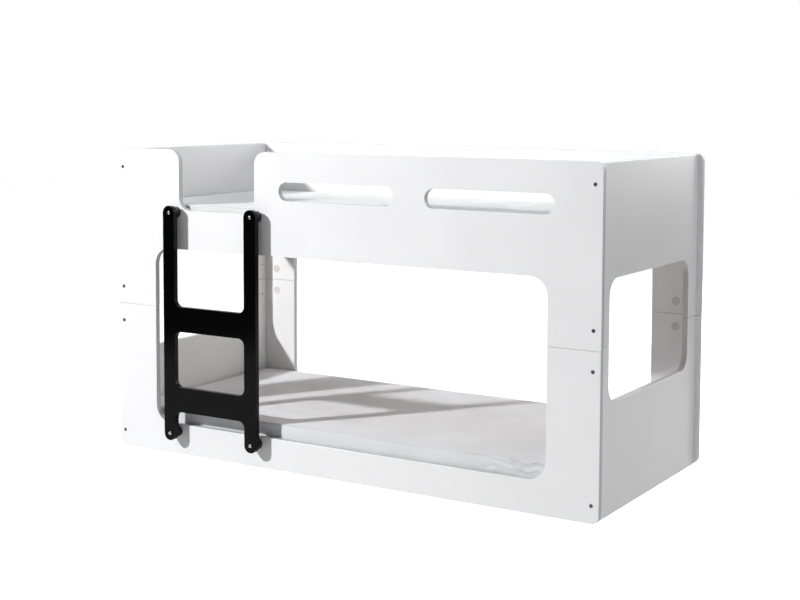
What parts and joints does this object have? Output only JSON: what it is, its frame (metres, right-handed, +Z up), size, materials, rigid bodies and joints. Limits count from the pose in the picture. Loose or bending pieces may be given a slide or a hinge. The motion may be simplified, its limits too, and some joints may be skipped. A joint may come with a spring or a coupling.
{
  "type": "bunk bed",
  "caption": "Low bunk bed of white lacquered boards with rounded windows, two slatted bases with mattresses, and a black ladder panel bolted in front of an entry in the guard rail.",
  "frame": {"origin": "on the floor under the middle of the whole object, ladder included", "axes": "+X along the bed towards its right-hand end as seen from the ladder side, +Y from the ladder side towards the back, +Z up"},
  "size_m": [2.08, 0.9994, 1.188],
  "materials": {
    "white_lacquer": "satin",
    "black_lacquer": "gloss",
    "black_spacer": "gloss",
    "pine_bearer": "matte",
    "pine_slat": "matte",
    "slat_tape": "matte",
    "lower_mattress_cover": "matte",
    "upper_mattress_cover": "matte",
    "bright_steel": "polished",
    "dark_steel": "satin",
    "zinc_steel": "satin",
    "yellow_zinc": "satin",
    "beech_dowel": "matte",
    "white_cap": "satin"
  },
  "bodies": {
    "bed_frame": {"lower_front_panel": "white_lacquer", "lower_back_panel": "white_lacquer", "lower_left_end": "white_lacquer", "lower_right_end": "white_lacquer", "upper_front_panel": "white_lacquer", "upper_back_panel": "white_lacquer", "upper_left_end": "white_lacquer", "upper_right_end": "white_lacquer", "lower_front_bearer": "pine_bearer", "lower_back_bearer": "pine_bearer", "upper_front_bearer": "pine_bearer", "upper_back_bearer": "pine_bearer", "lower_slat_01": "pine_slat", "lower_slat_02": "pine_slat", "lower_slat_03": "pine_slat", "lower_slat_04": "pine_slat", "lower_slat_05": "pine_slat", "lower_slat_06": "pine_slat", "lower_slat_07": "pine_slat", "lower_slat_08": "pine_slat", "lower_slat_09": "pine_slat", "lower_slat_10": "pine_slat", "lower_slat_11": "pine_slat", "lower_slat_12": "pine_slat", "lower_slat_13": "pine_slat", "upper_slat_01": "pine_slat", "upper_slat_02": "pine_slat", "upper_slat_03": "pine_slat", "upper_slat_04": "pine_slat", "upper_slat_05": "pine_slat", "upper_slat_06": "pine_slat", "upper_slat_07": "pine_slat", "upper_slat_08": "pine_slat", "upper_slat_09": "pine_slat", "upper_slat_10": "pine_slat", "upper_slat_11": "pine_slat", "upper_slat_12": "pine_slat", "upper_slat_13": "pine_slat", "lower_slat_tapes": "slat_tape", "upper_slat_tapes": "slat_tape", "ladder_panel": "black_lacquer", "spacer_top_left": "black_spacer", "spacer_top_right": "black_spacer", "spacer_low_left": "black_spacer", "spacer_low_right": "black_spacer", "ladder_bolts": "bright_steel", "front_corner_bolts": "dark_steel", "back_corner_bolts": "dark_steel", "ladder_insert_nuts": "zinc_steel", "barrel_nuts": "zinc_steel", "connector_rods": "zinc_steel", "connector_washers": "zinc_steel", "connector_nuts": "zinc_steel", "bearer_screws": "yellow_zinc", "corner_dowels": "beech_dowel", "seam_dowels": "beech_dowel", "cover_caps": "white_cap"},
    "lower_mattress": {"lower_mattress": "lower_mattress_cover"},
    "upper_mattress": {"upper_mattress": "upper_mattress_cover"}
  },
  "joints": [
    {"name": "lower_mattress_lift", "type": "slide", "parent": "bed_frame", "child": "lower_mattress", "axis": [0, 0, 1], "range_m": [0, 0.1]},
    {"name": "upper_mattress_lift", "type": "slide", "parent": "bed_frame", "child": "upper_mattress", "axis": [0, 0, 1], "range_m": [0, 0.36]}
  ]
}
